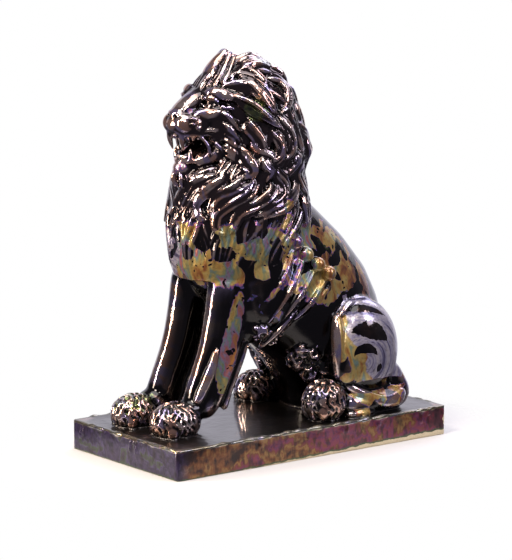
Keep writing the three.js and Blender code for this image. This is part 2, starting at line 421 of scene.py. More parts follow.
def head_clay():
    heap = []
    mass(heap, (0, -42, 340), (40, 36, 40), sides=32)
    mass(heap, (0, -54, 362), (23, 15, 13), tilt=-15)
    bridge = [[0, -60, 361], [0, -80, 354], [0, -94, 346], [0, -104, 340]]
    roll(heap, bridge, [17, 13.5, 12, 10], [9, 8, 7.5, 6], (0, 0, 1), sides=16)
    mass(heap, (0, -104, 339), (9, 6.5, 6.5), tilt=25)
    mass(heap, (0, -103, 332), (5, 8, 8))
    mass(heap, (0, -66, 284), (27, 30, 15))
    mass(heap, (0, -88, 334), (19, 26, 13), tilt=14)
    jaw = [[0, -58, 298], [0, -78, 293], [0, -94, 289]]
    roll(heap, jaw, [22, 17, 13], [9, 8, 8], (0, 0, 1), sides=14)
    mass(heap, (0, -97, 286), (11, 9, 8.5))
    both(half_face, heap)
    return fuse(heap, HEAD_VOXEL, 9)


def half_hollows(side, heap):
    mass(heap, (side * 21, -87, 352), (8.5, 7, 5.5), tilt=-10, sides=16)
    nostril = [[side * 4.5, -114, 339], [side * 5.5, -107, 337.5], [side * 8, -103, 336]]
    roll(heap, nostril, [2.2, 2.2, 1.4], [1.8, 1.8, 1.3], (0, 0, 1))


def head_hollows():
    heap = []
    mass(heap, (0, -97, 307), (15.5, 25, 11.5), tilt=6)
    mass(heap, (0, -85, 305), (18.5, 18, 11), tilt=6)
    both(half_hollows, heap)
    return fuse(heap, HEAD_VOXEL, 1)


def half_features(side, heap):
    eye = np.array([side * 20, -76.5, 351])
    mass(heap, eye, (6, 5.4, 5), sides=16)
    # hairs of the brow, swept outwards
    for k in range(4):
        root = np.array([side * (8 + 2 * k), -82 + 1.8 * k, 351.5 + 2.4 * k])
        steps = [[0, 0, 0], [9, 5.5, 2.2], [17, 14, -0.5 - k], [23, 25, -6 - k]]
        hairs = [root + np.multiply(move, [side, 1, 1]) for move in steps]
        roll(heap, hairs, [1.4, 2.1, 2, 1], [1.2, 1.7, 1.7, 1], (side * 0.4, -1, 0.5), 18, 8)
    upper = [[8, 4, 0], [5, -2, 3.8], [-2, -5.5, 4.4], [-9, -5.5, 0.5]]
    lower = [[8, 4, -1], [4, -4, -4], [-3, -6.5, -3.6], [-10, -6, -0.5]]
    bag = [[9, 3, -5], [3, -5, -8], [-5, -9, -7.5]]
    for path, wide in ((upper, 1.8), (lower, 1.5), (bag, 1.7)):
        line = np.array(path, float) * [side, 1, 1] + eye
        roll(heap, line, [0.6 * wide, wide, 0.6 * wide], [0.6 * wide, wide, 0.6 * wide], (0, -1, 0.2))
    # short tufts of fur round the eye
    for k in range(12):
        turn = math.radians(lerp(185, 350, (k % 6) / 5))
        swell = 1 + 0.4 * (k // 6)
        sideways, down = swell * math.cos(turn), swell * math.sin(turn)
        root = eye + [side * 10 * sideways, -3 + 4 * sideways + 4 * max(sideways, 0) ** 2, 7.5 * down - 1]
        tuft = [root, root + [side * 3, 1.5, -2.2], root + [side * 5.5, 5, -3.4]]
        roll(heap, tuft, [1.1, 1.7, 0.7], [1.3, 1.9, 0.9], (side, -1, 0.2), 8, 6)
    # the rims of the lips, and the fold at the corner of the mouth
    upper_lip = [[26, -72, 320], [21, -88, 320.5], [13, -103, 320.5], [5, -108, 324], [0, -106, 328]]
    lower_lip = [[23, -70, 299], [19, -85, 295], [10, -97, 293.5], [0, -102, 293.5]]
    corner = [[20, -92, 320], [25, -85, 311], [25, -83, 302], [19, -88, 294.5]]
    crease = [[22, -89, 325], [29, -76, 325], [33, -60, 328]]
    jowl = [[27, -78, 312], [29, -70, 305], [27, -66, 297], [22, -68, 291]]
    for path, wide in ((upper_lip, 2.4), (lower_lip, 2.4), (corner, 1.8), (crease, 2.2), (jowl, 2.4)):
        girth = [0.7 * wide, wide, wide, 0.8 * wide]
        roll(heap, np.array(path, float) * [side, 1, 1], girth, girth, (side, -0.5, 0), 20)
    fang = [[side * 9.5, -104, 324], [side * 9.8, -104.5, 315], [side * 8.6, -101.5, 303.5]]
    roll(heap, fang, [3.4, 3, 0.8], [3.4, 3, 0.8])
    tusk = [[side * 11.5, -95, 292], [side * 12, -96, 300], [side * 11.5, -95, 307]]
    roll(heap, tusk, [2.8, 2.3, 0.8], [2.8, 2.3, 0.8])
    for k in range(3):
        mass(heap, (side * (1.4 + 2.7 * k), -107 + 1.0 * k, 318.5), (1.4, 1.6, 3.4), sides=8)
        mass(heap, (side * (1.5 + 2.7 * k), -99 + 0.8 * k, 297.5), (1.3, 1.4, 2.8), sides=8)
        mass(heap, (side * (16 - 0.2 * k), -95 + 6.5 * k, 317 + 0.4 * k), (2.2, 2.9, 3.6), sides=8)
        mass(heap, (side * (15 + 0.8 * k), -88 + 6 * k, 298.5), (2.1, 2.6, 3), sides=8)
    # folds of the muzzle, in rows from the nose back
    for k in range(12):
        turn, rise = lerp(1.0, 2.1, (k % 4) / 3), lerp(-0.25, 0.6, (k // 4) / 2) + 0.2 * (uneven(k) - 0.5)
        flat = np.array([math.sin(turn), -math.cos(turn), 0]) * math.sqrt(1 - rise * rise) + [0, 0, rise]
        root = np.array([12.5, -93, 330]) + flat * [12, 19, 12]
        ahead = np.array([math.cos(turn), math.sin(turn), -0.3])
        fold = np.array([root - flat * 1.6, root - flat * 0.2 + ahead * 2.6, root - flat * 1.6 + ahead * 6])
        roll(heap, fold * [side, 1, 1], [0.8, 1.5, 0.6], [1, 1.2, 0.7], flat * [side, 1, 1], 8, 6)
    # short fur on the cheek
    for k in range(14):
        turn, rise = lerp(0.5, 1.5, uneven(k + 0.1)), lerp(-0.9, 0.6, uneven(1.7 * k + 0.6))
        flat = np.array([math.sin(turn), -math.cos(turn), 0]) * math.sqrt(1 - rise * rise) + [0, 0, rise]
        root = np.array([21, -60, 328]) + flat * [14, 23, 26]
        tuft = [root - flat * 1.5, root - flat * 0.3 + [1.5, 5, -3], root - flat * 0.4 + [2, 11, -8]]
        tuft = np.array(tuft) * [side, 1, 1]
        roll(heap, tuft, [1, 2.2, 0.8], [1.2, 1.8, 0.8], flat * [side, 1, 1], 10, 8)
    # longer hair behind the cheek, where it meets the mane
    for k in range(9):
        t = k / 8
        root = np.array([lerp(31, 32, t), lerp(-72, -69, t), lerp(342, 300, t)])
        end = root + [7, 14 + 4 * uneven(k), -13 - 5 * uneven(k + 0.5)]
        hairs = np.array([root, lerp(root, end, 0.5) + [3, -2, 3], end]) * [side, 1, 1]
        thick = lerp(1.8, 2.6, uneven(k + 0.7))
        girth = [0.6 * thick, thick, 0.6 * thick]
        roll(heap, hairs, girth, [thick, 1.4 * thick, thick], (side, -1, 0), 12, 8)
    # hair along the jaw, down to the ruff
    for k in range(9):
        t = k / 8
        root = np.array([side * lerp(28, 3, t), lerp(-60, -101, t), lerp(297, 285, t)])
        end = root + [side * 2, lerp(4, 1, t), -18]
        thick = lerp(1.7, 2.7, uneven(k + 0.3))
        hairs = [root, lerp(root, end, 0.5) + [side * 2, -2.5, 0], end]
        girth = [0.6 * thick, thick, 0.5 * thick]
        roll(heap, hairs, girth, [thick, 1.4 * thick, thick], (side, -1, 0), 12, 8)


head = [carve(head_clay(), head_hollows())]
print("the carved head has", len(head[0].vertices), "vertices")
both(half_features, head)
mass(head, (0, -82, 297), (10.5, 18, 4), tilt=10)

# %% [markdown]
# Locks of hair
#
# Each lock of the mane is a bundle of two to six strands that leave one root, sway together and
# close again in a tip. A lock is drawn on the mane by angle and height: the angle runs round from
# the front towards the lion's left, and the height is in millimetres.

# %% Comb the mane
def on_mane(degrees, height):
    """Points on the mane's core, and the directions straight out of it."""
    turn = np.radians(degrees)
    centre, wide, deep = slice_at(MANE, height)
    across, back = np.sin(turn), -np.cos(turn)
    points = np.stack([across * wide, centre + back * deep, height], 1)
    lean = np.clip((height - 340) / 60, 0, 1)
    out = unit_rows(np.stack([across / wide, back / deep, 0 * height], 1)) * (1 - 0.7 * lean)[:, None]
    out[:, 2] = lean
    return points, unit_rows(out)


def lock(heap, places, wide, strands, seed, proud=3.2, tip=3.4, close=0.5):
    """A bundle of strands on a bed of hair, along places given as angle and height."""
    t = np.linspace(0, 1, 4 * len(places))
    drawn = run(places, t)
    points, out = on_mane(drawn[:, 0], drawn[:, 1])
    ahead = unit_rows(run(points, t + 0.05) - run(points, t - 0.05))
    side = unit_rows(np.cross(out, ahead))
    rise = run([-2, 0.8 * proud, proud, proud, proud, tip], t)
    closing = run([0.5, 0.95, 1.05, 1, 0.85, close], t)
    rings = 6 * len(places)
    bed = [share * wide for share in (0.3, 0.75, 0.85, 0.85, 0.6, 0.1)]
    low = points + out * (rise - 0.2 * wide)[:, None]
    roll(heap, low, bed, [0.55 * b for b in bed], out, rings, sides=8)
    for k in range(strands):
        u = lerp(-1, 1, (k + 0.5) / strands)
        wave = 0.7 * np.sin(2.2 * math.pi * t + 5 * uneven(seed + k))
        across = (u * wide * 0.92 * closing + wave)[:, None]
        up = (rise + 0.26 * wide * (1 - u * u) * closing + 1.8 * (uneven(seed + k + 0.5) - 0.5))[:, None]
        line = points + side * across + out * up
        reach = 1 - 0.14 * abs(u) - 0.08 * uneven(seed + k + 0.2)
        line = run(line, t * reach)
        thick = wide / strands * lerp(0.95, 1.22, uneven(seed + k + 0.7))
        girth = [0.6 * thick, thick, 1.05 * thick, thick, 0.8 * thick, 0.4 * thick]
        roll(heap, line, girth, [1.3 * g for g in girth], out, rings, sides=8)


# The locks that the left side shows: half width, strands, then angle and height along each
LOCKS = [
    (12, 6, [(33, 374), (70, 380), (115, 380), (136, 373), (120, 362)]),
    (8, 5, [(24, 371), (51, 375), (72, 370), (80, 358)]),
    (10, 5, [(106, 375), (127, 369), (124, 358), (113, 347), (91, 339)]),
    (8, 4, [(31, 363), (56, 366), (70, 357), (79, 346), (83, 336)]),
    (7, 4, [(137, 350), (140, 338), (134, 325), (111, 319)]),
    (8, 4, [(85, 338), (95, 322), (97, 306), (88, 292)]),
    (8, 4, [(113, 326), (136, 310), (136, 298), (118, 288)]),
    (6, 3, [(75, 324), (83, 311), (82, 299), (76, 290)]),
    (7, 4, [(43, 334), (53, 323), (61, 311), (56, 298)]),
    (5, 3, [(44, 335), (37, 319), (31, 306), (31, 292), (33, 280)]),
    (8, 4, [(34, 310), (47, 297), (63, 285), (60, 276)]),
    (8, 5, [(33, 287), (20, 279), (3, 267), (-11, 252), (-13, 240)]),
    (8, 5, [(38, 279), (20, 267), (9, 253), (3, 240), (9, 230)]),
    (7, 4, [(48, 281), (29, 267), (16, 253), (19, 242), (29, 238)]),
    (8, 4, [(67, 278), (54, 268), (39, 260), (32, 249), (34, 238)]),
    (9, 5, [(76, 277), (65, 264), (50, 254), (39, 244), (38, 232), (46, 224)]),
    (8, 4, [(93, 279), (88, 264), (71, 252), (57, 245), (52, 233), (50, 226)]),
    (8, 4, [(76, 291), (98, 275), (98, 260), (79, 249), (68, 240)]),
    (7, 4, [(113, 283), (119, 267), (101, 252), (82, 244), (73, 236)]),
    (7, 4, [(104, 300), (112, 290), (106, 277), (96, 268)]),
    (6, 3, [(60, 300), (72, 290), (84, 282), (80, 272)]),
    (6, 4, [(52, 318), (58, 306), (74, 297), (78, 286)]),
]
# The rows that carry the mane round the back: top, count, from, to, length, sway in degrees
BACK_ROWS = [
    (262, 5, 128, 232, 50, 8),
    (292, 6, 122, 238, 56, 9),
    (322, 6, 132, 228, 54, 10),
    (348, 5, 140, 220, 48, 11),
    (367, 4, 140, 220, 40, 14),
]


def side_locks(side, heap):
    for k, (wide, strands, places) in enumerate(LOCKS):
        mirrored = [(side * degrees, height) for degrees, height in places]
        if side < 0 and min(degrees for degrees, _ in places) < 0:
            mirrored = [(degrees - 4, height) for degrees, height in mirrored]
        hooked = 5.5 if places[-1][1] < 245 else 3.4
        lock(heap, mirrored, wide, strands, seed=k * 7.3 + (side < 0) * 3.1, tip=hooked)


def back_locks(heap):
    for r, (top, count, start, end, long, swing) in enumerate(BACK_ROWS):
        for k in range(count):
            seed = 200 + r * 31 + k
            degrees = lerp(start, end, (k + 0.5) / count) + 6 * (uneven(seed) - 0.5)
            away = 1 if degrees > 180 else -1
            t = np.linspace(0, 1, 5)
            sway = away * swing * np.sin(1.8 * math.pi * t) * (0.6 + 0.4 * t)
            begin = top + 10 * (uneven(seed + 0.3) - 0.5)
            drop = long * lerp(0.9, 1.15, uneven(seed + 0.6)) * t
            lock(heap, list(zip(degrees + sway, begin - drop)), lerp(9, 11, uneven(seed + 0.8)), 4, seed)


def under_hair(heap):
    """Combed hair under the locks, which shows in the gaps between them."""
    for k in range(36):
        degrees = lerp(40, 320, k / 35)
        sway = 5 * math.sin(1.9 * k)
        swayed = [degrees, degrees + sway, degrees - sway, degrees + sway, degrees]
        places = list(zip(swayed, (366, 338, 305, 272, 246)))
        lock(heap, places, 4.6, 2, seed=400 + k, proud=-0.3, tip=-1)


mane = []
stack(mane, MANE)
under_hair(mane)
both(side_locks, mane)
back_locks(mane)
print("the mane has", len(mane), "strands")

# %% [markdown]
# The quiff, the crown and the ears
#
# Over the forehead the hair stands up in a striped wave. Behind it the crown rises to a hump. The
# ears are long leaves that lie in the hair, with a raised rim round a shallow hollow.

# %% Raise the quiff and the ears
def half_quiff(side, heap):
    """Strands that rise from the hairline and close in the crest of the wave."""
    roots = [[2, -75, 361], [8, -73, 361], [14, -68, 363], [19, -60, 367], [21, -52, 372], [22, -44, 376]]
    tips = [[1, -44, 400], [3, -43, 399.5], [5, -40, 397], [7, -37, 393], [8, -33, 388], [10, -28, 384]]
    for k, (root, end) in enumerate(zip(np.array(roots, float), np.array(tips, float))):
        root, end = root * [side, 1, 1], end * [side, 1, 1]
        bulge = np.array([side * 0.5, -1.6 + 0.5 * k, 0.5])
        rising = [lerp(root, end, t) + bulge for t in (0.35, 0.7)]
        line = [root + [0, 1, -5], root + [0, -0.5, 1.5], *rising, end]
        thick = lerp(2.9, 2.2, k / 5) * lerp(0.9, 1.12, uneven(k + side))
        wide = [thick, 1.1 * thick, thick, 0.85 * thick, 0.6 * thick]
        deep = [1.5 * thick] * 2 + [1.3 * thick, thick]
        roll(heap, line, wide, deep, (side * 0.9, -0.6, 0.1), 24, 8)


def quiff(heap):
    both(half_quiff, heap)
    core = [[0, -62, 360], [0, -61, 375], [0, -54, 387], [0, -45, 395]]
    roll(heap, core, [15, 12, 7, 4], [8, 8, 6, 4], (0, -1, 0.3), 20, 16)
    mass(heap, (0, -40, 369), (20, 24, 17))
    mass(heap, (0, -17, 374), (25, 20, 15), tilt=-10)


def crown_hair(side, heap):
    for k in range(8):
        lean = side * lerp(2, 30, k / 7)
        start = np.array([lean * 0.5, -43 + 1.2 * k, 383 - 1.8 * k])
        line = [
            start,
            start + [lean * 0.22, 14, 5.5],
            start + [lean * 0.42, 30, 8],
            start + [lean * 0.5, 38, 1],
            start + [lean * 0.5, 44, -13],
        ]
        thick = 2.1 * lerp(0.85, 1.2, uneven(3 * k + side))
        wide = [0.7 * thick, thick, thick, thick, 0.6 * thick]
        roll(heap, line, wide, [1.7 * thick] * 4 + [thick], (side * 0.3, 0.2, 1), 26, 8)


def temple_hair(side, heap):
    """Strands that sweep back from the hairline over the temple."""
    sweep = np.array([[0, 0, -2], [6, 10, 4], [13, 23, 6], [17, 36, -1], [15, 46, -13]], float)
    for k in range(6):
        start = np.array([18 + 2.4 * k, -66 + 3 * k, 363 - 2 * k])
        line = (start + sweep * lerp(0.9, 1.1, uneven(5 * k + 2))) * [side, 1, 1]
        thick = 2.3 * lerp(0.85, 1.2, uneven(7 * k + side))
        wide = [thick, 1.2 * thick, thick, 0.6 * thick]
        roll(heap, line, wide, [1.6 * thick] * 3 + [thick], (side, -0.3, 0.8), 24, 8)


def ear(side, heap):
    root, tip = np.array([side * 33, -60, 358]), np.array([side * 56, -22, 327])
    middle = (root + tip) / 2
    roll(heap, [root, middle, tip], [5, 7.5, 3], [3, 2.5, 2.5], (side, -0.6, 0.3), 16, 12)
    for k in range(6):
        u = lerp(-1, 1, k / 5)
        wide = lerp(2.4, 1.7, 1 - u * u)
        bulge = [side * (4 + abs(u)), -5 * u, 7 * u]
        line = [root, middle + bulge, tip + [side * 2, -2 * u, 2 * u]]
        girth = [0.8 * wide, wide, 0.6 * wide]
        roll(heap, line, girth, [wide, 1.4 * wide, 0.9 * wide], (side, -0.6, 0.3), 20, 8)


hair = []
quiff(hair)
both(crown_hair, hair)
both(temple_hair, hair)
both(ear, hair)
print("the crown has", len(hair), "rolls")

# %% [markdown]
# Apron, tresses and tufts
#
# Below the mane the chest hair is combed flat, and hangs like an apron with a soft hem. Tresses
# fall from round knobs behind the shoulder, and small curls cover the elbow and the belly.

# %% Comb the chest and the shoulder
KNOB = 8


def apron_strands(heap):
    for k in range(26):
        degrees = lerp(-120, 120, k / 25) + 6 * (uneven(k) - 0.5)
        pull = degrees * 0.22 * min(1, abs(degrees) / 60)
        hem = lerp(168, 180, uneven(k + 0.4))
        sway = 4 * math.sin(2.4 * k)
        swayed = [degrees + pull, degrees + 0.6 * pull + sway, degrees - sway, degrees - 0.5 * pull]
        places = list(zip(swayed, (254, 232, 208, hem)))
        wide = lerp(4.5, 8, uneven(k + 0.8))
        lock(heap, places, wide, 2 + (k % 2), seed=500 + k, proud=-2.4, tip=-2.6, close=0.7)


def tresses(side, heap):
    lines = [
        [[50, 1, 210], [57, -14, 190], [61, -32, 166], [50, -50, 140]],
        [[53, 12, 197], [59, -4, 180], [62, -20, 158], [53, -38, 130]],
        [[55, 25, 186], [58, 8, 167], [58, -8, 149], [49, -26, 122]],
        [[56, 38, 176], [57, 22, 156], [53, 6, 140], [41, -14, 122]],
        [[54, 46, 166], [53, 30, 152], [50, 12, 141], [42, -6, 128]],
        [[52, 6, 148], [54, -10, 136], [51, -24, 122], [44, -36, 106]],
    ]
    for r, line in enumerate(lines[0 if side > 0 else 1:]):
        path = np.array(line, float) * [side, 1, 1]
        if line in lines[:4]:
            mass(heap, path[0] + [side * 4, 0, 0], (KNOB, KNOB, KNOB), sides=16)
        roll(heap, path - [side * 1, 0, 0], [4, 8, 7.5, 2], [3, 4.5, 4.5, 2], (side, 0, 0.2), 18, 10)
        for k in range(4):
            u = lerp(-1, 1, k / 3)
            t = np.linspace(0.06, 1 - 0.1 * uneven(r + k), 8)
            strand = run(path, t) + np.outer(u * run([2, 6.2, 5.8, 1.4], t), [0, 0.62, 0.62])
            strand += np.outer(run([2, 3.4, 3.2, 1], t) * (1.15 - 0.5 * u * u), [side, 0, 0])
            roll(heap, strand, [1.8, 2.7, 2.6, 1.3], [2.2, 3.3, 3.1, 1.6], (side, 0, 0.2), 18, 8)


def curl(heap, centre, out, radius, thick, seed):
    """A small hooked curl that lies on a surface."""
    out = np.asarray(out, float) / np.linalg.norm(out)
    across = np.cross(out, [0.3, 0.2, 1.0])
    across /= np.linalg.norm(across)
    along = np.cross(out, across)
    start = 2 * math.pi * uneven(seed)
    angles = start + np.linspace(0, 4.4, 6)
    grow = np.linspace(1.25, 0.35, 6)
    circle = np.outer(np.cos(angles) * grow, across) + np.outer(np.sin(angles) * grow, along)
    line = np.asarray(centre, float) + radius * circle + np.outer(np.linspace(-1.5, 1.5, 6), out)
    roll(heap, line, [thick, thick, 0.6 * thick], [thick, thick, 0.7 * thick], out, 10, 6)


def curly_mass(heap, centre, half, count, seed, radius=3.8, thick=1.5):
    """A tuft of hair: an egg covered with small curls."""
    centre, half = np.array(centre, float), np.array(half, float)
    mass(heap, centre, half, tilt=15, sides=16)
    for j in range(count):
        rise = lerp(-0.95, 0.8, (j + 0.5) / count)
        turn = 2.4 * j + seed
        flat = np.array([math.cos(turn), math.sin(turn), 0]) * math.sqrt(1 - rise * rise) + [0, 0, rise]
        reach = radius * lerp(0.8, 1.3, uneven(seed + j))
        curl(heap, centre + flat * half, flat, reach, thick, seed + 3 * j)


def belly(side, heap):
    start, end = np.array([24, -8, 121]), np.array([44, 42, 79])
    for k in range(5):
        centre = lerp(start, end, k / 4) * [side, 1, 1] + [0, 0, (k % 2) * 6]
        swell = lerp(0.85, 1.15, uneven(k + side))
        curly_mass(heap, centre, (15 * swell, 10 * swell, 13), 24, 700 + 20 * k + 5 * side)
    # the lower fringe, in front of the knee
    for k in range(3):
        centre = np.array([side * (36 + 5 * k), (16 if side > 0 else 34) + 13 * k, 88 - 12 * k])
        curly_mass(heap, centre, (9, 8, 12), 16, 800 + 20 * k + 5 * side)


def elbow_tuft(side, heap):
    curly_mass(heap, (side * 49, -38, 128), (8, 11, 12), 18, 900 + side)
    curly_mass(heap, (side * 46, -24, 118), (7, 8, 8), 14, 930 + side)


apron_strands(hair)
both(tresses, hair)
both(belly, hair)
both(elbow_tuft, hair)
print("curls and tresses laid,", len(hair), "lumps")

# %% [markdown]
# Paws
#
# The paws are round and covered with short strokes of fur, laid on and pressed down with a tool
# while the clay was soft. The strokes run down and forward, and lean unevenly to the sides.

# %% Model the paws
STROKE = {"long": 9.0, "wide": 1.5, "thick": 1.7}


def toes(heap, centre, half):
    """Four toes across the blunt front of a paw."""
    for k in range(4):
        u = lerp(-0.72, 0.72, k / 3)
        toe = centre + half * [u, -0.58 * math.sqrt(1 - u * u) - 0.12, -0.36]
        mass(heap, toe, half * [0.27, 0.29, 0.42], sides=14)


def stroke(heap, centre, half, up, turn, chance, slant):
    """One short stroke of fur on a paw, at a height and an angle round it."""
    ring = math.sqrt(1 - up * up)
    flat = np.array([math.sin(turn) * ring, -math.cos(turn) * ring, up])
    across = np.array([math.cos(turn), math.sin(turn), 0])
    down = np.cross(flat, across)
    down *= -1 if down[2] > 0 else 1
    lean = slant + 1.7 * (uneven(chance + 0.5) - 0.5)
    way = down + across * lean + np.array([0, -0.4, 0]) * max(up, 0)
    way /= np.linalg.norm(way)
    point = centre + flat * half
    half_long = 0.5 * STROKE["long"] * lerp(0.75, 1.25, uneven(chance + 0.2)) * way
    bend = across * 1.4 * (uneven(chance + 0.9) - 0.5)
    ends = [point - half_long - flat * 1.0, point + flat * 0.5 + bend, point + half_long + flat * 1.1]
    ends = [np.maximum(end, [-999, -999, GROUND + 0.5]) for end in ends]
    wide = STROKE["wide"] * lerp(0.8, 1.4, uneven(chance + 0.7))
    thick = STROKE["thick"] * lerp(0.8, 1.3, uneven(chance + 0.1))
    roll(heap, ends, [0.5 * wide, wide, 0.4 * wide], [0.7 * thick, thick, 0.8], flat, 8, 6)


def paw(heap, centre, half, seed, slant=0.35):
    centre, half = np.array(centre, float), np.array(half, float)
    mass(heap, centre, half * 0.97, sides=28)
    toes(heap, centre, half)
    rows = 10
    for r in range(rows):
        up = lerp(0.94, -0.82, r / (rows - 1))
        count = max(5, int(27 * math.sqrt(1 - up * up)))
        for k in range(count):
            chance = seed + 17 * r + k
            turn = lerp(-math.pi, math.pi, (k + 0.5 * (r % 2) + 0.4 * uneven(chance)) / count)
            if abs(turn) < 2.8:
                stroke(heap, centre, half, up, turn, chance, slant)


paws = []
paw(paws, (32, -130, 43.5), (20.5, 24.5, 18.5), 11, 0.3)
paw(paws, (-30, -134, 43), (19.5, 23.5, 17.5), 37, 0.3)
paw(paws, (65, 29, 48.5), (18.5, 22, 21), 53, 0.4)
paw(paws, (-54, 36, 42), (20, 23, 17), 71, 0.5)
print("the paws have", len(paws), "lumps")

# %% [markdown]
# The tail's tuft lies on the slab beside the right haunch.

# %% Comb the tail's tuft
def tail_tuft(heap):
    for k in range(5):
        u = k - 2
        line = [[-78, 66, 38], [-78 + 2.5 * u, 48, 39], [-79 + 2 * u, 34, 36], [-79 + u, 24 + abs(u), 34]]
        roll(heap, line, [3, 3.6, 3, 1], [4, 5, 4, 1.5], (0, 0, 1), 14, 8)


tail_tuft(paws)

# %% [markdown]
# The slab
#
# The slab is a block with soft upright corners. Its glaze has run down and gathered: a wavy bead
# lies along the upper edges, and a few drips hang on the sides and the front.

# %% Build the slab
def slab(heap):
    form = bmesh.new()
    block = bmesh.ops.create_cube(form, size=1)["verts"]
    bmesh.ops.scale(form, vec=(PLINTH["width"], PLINTH["length"], PLINTH["height"]), verts=block)
    bmesh.ops.translate(form, vec=(0, 0, PLINTH["height"] / 2), verts=block)
    upright = [e for e in form.edges if abs(e.verts[0].co.z - e.verts[1].co.z) > 1]
    corner = PLINTH["corner"]
    bmesh.ops.bevel(form, geom=upright, offset=corner, segments=6, affect="EDGES", profile=0.5, material=-1)
    press(heap, form)


def glaze_bead(heap, start, end, seed):
    """The uneven bead where the glaze gathers along one upper edge."""
    count = int(np.linalg.norm(np.subtract(end, start)) / 7)
    t = np.linspace(0, 1, count)
    line = np.outer(1 - t, start) + np.outer(t, end)
    line[:, 2] += [0.9 * (uneven(seed + k) - 0.5) for k in range(count)]
    girth = [lerp(1.5, 3.4, uneven(seed + 2.7 * k) ** 2) for k in range(count)]
    roll(heap, line, girth, girth, (0, 0, 1), rings=3 * count, sides=8)


def drip(heap, x, y, outward, drop, wide):
    """A run of glaze that stopped partway down a side."""
    top = np.array([x, y, GROUND - 0.5])
    out = np.array([outward[0], outward[1], 0.0])
    down = np.array([0, 0, -drop])
    line = [top - out * 1.2, top - out * 0.4 + 0.3 * down, top + 0.8 * down, top + down]
    roll(heap, line, [wide, 0.8 * wide, wide, 0.8 * wide], [1, 0.9, 1.3, 1.1], out, 12, 8)


plinth = []
slab(plinth)
half_wide, half_long = PLINTH["width"] / 2 - 1.4, PLINTH["length"] / 2 - 1.4
top_edge = GROUND - 1.2
for side in (1, -1):
    x, y = half_wide * side, half_long * side
    glaze_bead(plinth, (x, -half_long + 2, top_edge), (x, half_long - 2, top_edge), 20 + side)
    glaze_bead(plinth, (-half_wide + 2, y, top_edge), (half_wide - 2, y, top_edge), 50 + side)
    for k in range(7):
        y = lerp(-150, 150, uneven(7 * k + side))
        drop, wide = lerp(5, 14, uneven(k + 0.4)), lerp(1.4, 2.6, uneven(k + 0.2))
        drip(plinth, side * PLINTH["width"] / 2, y, (side, 0), drop, wide)
for k in range(6):
    x = lerp(-78, 82, uneven(5.1 * k + 0.3))
    drop, wide = lerp(5, 16, uneven(k + 0.7)), lerp(1.3, 2.4, uneven(k + 0.9))
    drip(plinth, x, -PLINTH["length"] / 2, (0, -1), drop, wide)
print("slab", [PLINTH[k] for k in ("length", "width", "height")], "mm")

# %% [markdown]
# One skin
#
# Body, head, hair, paws and slab are fused at a fine grain into the single piece that was fired.

# %% Fuse everything
FINE_VOXEL = 1.05
TRIANGLES = 197000

fine = fuse([body_mesh, *extras, *head, *mane, *hair, *paws, *plinth], FINE_VOXEL, 1)
print("the fine skin has", len(fine.vertices), "vertices")

# %% [markdown]
# Measuring the hollows
#
# The glaze is black in the hollows and bronze on the ridges. This is partly glaze that runs off the
# ridges and gathers in the hollows, and partly painted light and shade, so the material needs to
# know which is which. The skin is compared with smoothed copies of itself: where a copy lies
# outside, there is a hollow. It is measured before the skin is thinned, and the thinning carries the
# values along. Crumbs, such as small bubbles inside the clay, are then taken away.

# %% Measure the hollows
HOLLOW = {"fine": 12, "broad": 60, "share": 0.45}  # rounds of smoothing, and the share of the broad one


def arrays(mesh):
    """Places, normals and edges of a mesh, as arrays."""
    count = len(mesh.vertices)
    place, normal = np.empty(count * 3), np.empty(count * 3)
    mesh.vertices.foreach_get("co", place)
    mesh.vertices.foreach_get("normal", normal)
    edges = np.empty(len(mesh.edges) * 2, np.int64)
    mesh.edges.foreach_get("vertices", edges)
    return place.reshape(-1, 3), normal.reshape(-1, 3), edges.reshape(-1, 2)


def add_map(mesh, name, values):
    layer = mesh.attributes.new(name, "FLOAT", "POINT")
    layer.data.foreach_set("value", np.asarray(values, np.float32))


def neighbour_mean(values, edges):
    total = np.zeros_like(values)
    count = np.bincount(edges.ravel(), minlength=len(values))
    for a, b in ((0, 1), (1, 0)):
        for k in range(values.shape[1]):
            total[:, k] += np.bincount(edges[:, a], values[edges[:, b], k], len(values))
    return total / np.maximum(count, 1)[:, None]


def hollow_map(mesh):
    """How far smoothed copies lie outside the skin, in millimetres: positive in hollows."""
    place, normal, edges = arrays(mesh)
    smooth = place
    for k in range(HOLLOW["broad"]):
        smooth = neighbour_mean(smooth, edges)
        if k + 1 == HOLLOW["fine"]:
            depth = np.sum((smooth - place) * normal, 1)
    depth = depth + HOLLOW["share"] * np.sum((smooth - place) * normal, 1)
    return neighbour_mean(depth[:, None], edges)[:, 0]


add_map(fine, "hollow", hollow_map(fine))


def thinned(mesh, wanted):
    item = bpy.data.objects.new("thin", mesh)
    bpy.context.scene.collection.objects.link(item)
    faces = sum(len(p.vertices) - 2 for p in mesh.polygons)
    cut = item.modifiers.new("thin", "DECIMATE")
    cut.ratio = min(1, wanted / faces)
    cut.use_collapse_triangulate = True
    return applied(item)


def without_crumbs(mesh):
    """Take away whatever doesn't hang together with the largest part of the mesh."""
    form = bmesh.new()
    form.from_mesh(mesh)
    parts, seen = [], set()
    for first in form.faces:
        if first in seen:
            continue
        seen.add(first)
        part = [first]
        for face in part:  # the list grows while it is walked
            nearby = {other for edge in face.edges for other in edge.link_faces} - seen
            seen |= nearby
            part += nearby
        parts.append(part)
    parts.sort(key=len)
    crumbs = [face for part in parts[:-1] for face in part]
    bmesh.ops.delete(form, geom=crumbs, context="FACES")
    form.to_mesh(mesh)
    form.free()
    print("crumbs taken away:", len(parts) - 1)


